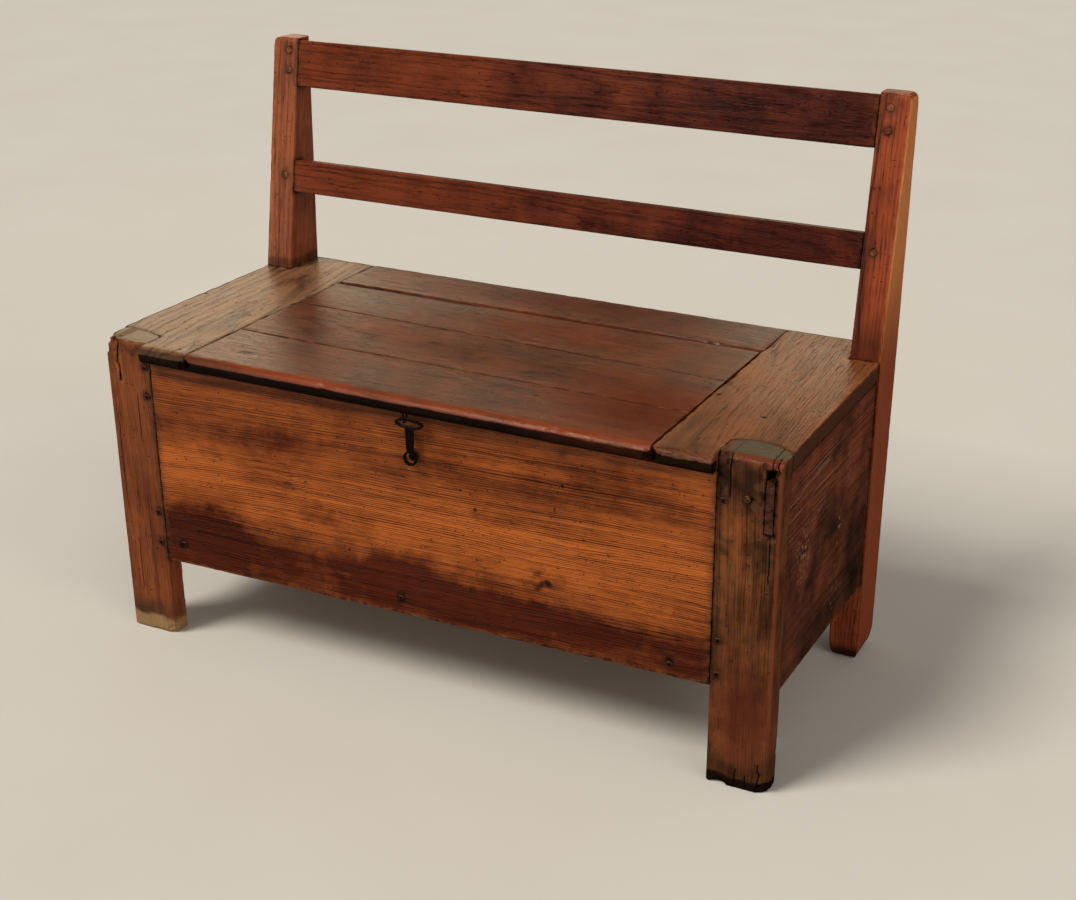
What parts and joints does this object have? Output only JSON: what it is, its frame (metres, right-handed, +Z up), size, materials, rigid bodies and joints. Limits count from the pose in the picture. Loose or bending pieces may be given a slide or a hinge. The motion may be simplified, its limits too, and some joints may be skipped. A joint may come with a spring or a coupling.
{
  "type": "settle bench",
  "caption": "Box settle bench: plank seat with a hinged locker lid, wrought hasp, half-round front legs and leaning rear posts carrying a railed back.",
  "frame": {"origin": "on the floor, under the middle of the bounding box", "axes": "+X to the sitter's left along the seat, +Y to the back, +Z up"},
  "size_m": [0.99, 0.482, 0.795],
  "materials": {
    "leg_wood": "old wax polish, satin, worn at the edges and feet",
    "panel_wood": "old wax polish over open grain, satin",
    "end_wood": "dark grimy wax polish, satin",
    "seat_wood": "worn wax polish, satin to glossy on the nose",
    "rail_wood": "dark wax polish, satin",
    "inner_wood": "unpolished, dry and dusty",
    "peg_wood": "waxed end grain",
    "iron": "forged and browned, rubbed bright where it turns"
  },
  "bodies": {
    "root": {"front_left_leg": "leg_wood", "front_right_leg": "leg_wood", "rear_left_post": "leg_wood", "rear_right_post": "leg_wood", "front_panel": "panel_wood", "left_end_panel": "end_wood", "right_end_panel": "end_wood", "back_panel": "inner_wood", "bottom_board_front": "inner_wood", "bottom_board_middle": "inner_wood", "bottom_board_rear": "inner_wood", "bottom_ledger_left": "inner_wood", "bottom_ledger_right": "inner_wood", "seat_end_board_left": "seat_wood", "seat_end_board_right": "seat_wood", "seat_rear_board": "seat_wood", "lid_pivot_pins": "iron", "top_rail": "rail_wood", "mid_rail": "rail_wood", "rail_pegs": "peg_wood", "leg_nails": "iron", "leg_peg": "peg_wood", "front_panel_nails": "iron", "back_panel_nails": "iron", "bottom_nails": "iron", "ledger_nails": "iron", "seat_dowels": "peg_wood", "latch_stud": "iron"},
    "lid": {"lid_front_board": "seat_wood", "lid_middle_board": "seat_wood", "lid_rear_board": "seat_wood", "lid_batten_left": "inner_wood", "lid_batten_right": "inner_wood", "lid_batten_nails": "iron", "latch_staple": "iron"},
    "hasp": {"latch_hasp": "iron"}
  },
  "joints": [
    {"name": "lid_hinge", "type": "hinge", "parent": "root", "child": "lid", "pos_m": [0, 0.12216, 0.43765], "axis": [-1, 0, 0], "range_deg": [0, 98]},
    {"name": "hasp_swing", "type": "hinge", "parent": "lid", "child": "hasp", "pos_m": [0.002, -0.23299, 0.4185], "axis": [-1, 0, 0], "range_deg": [-8.9, 105]}
  ]
}
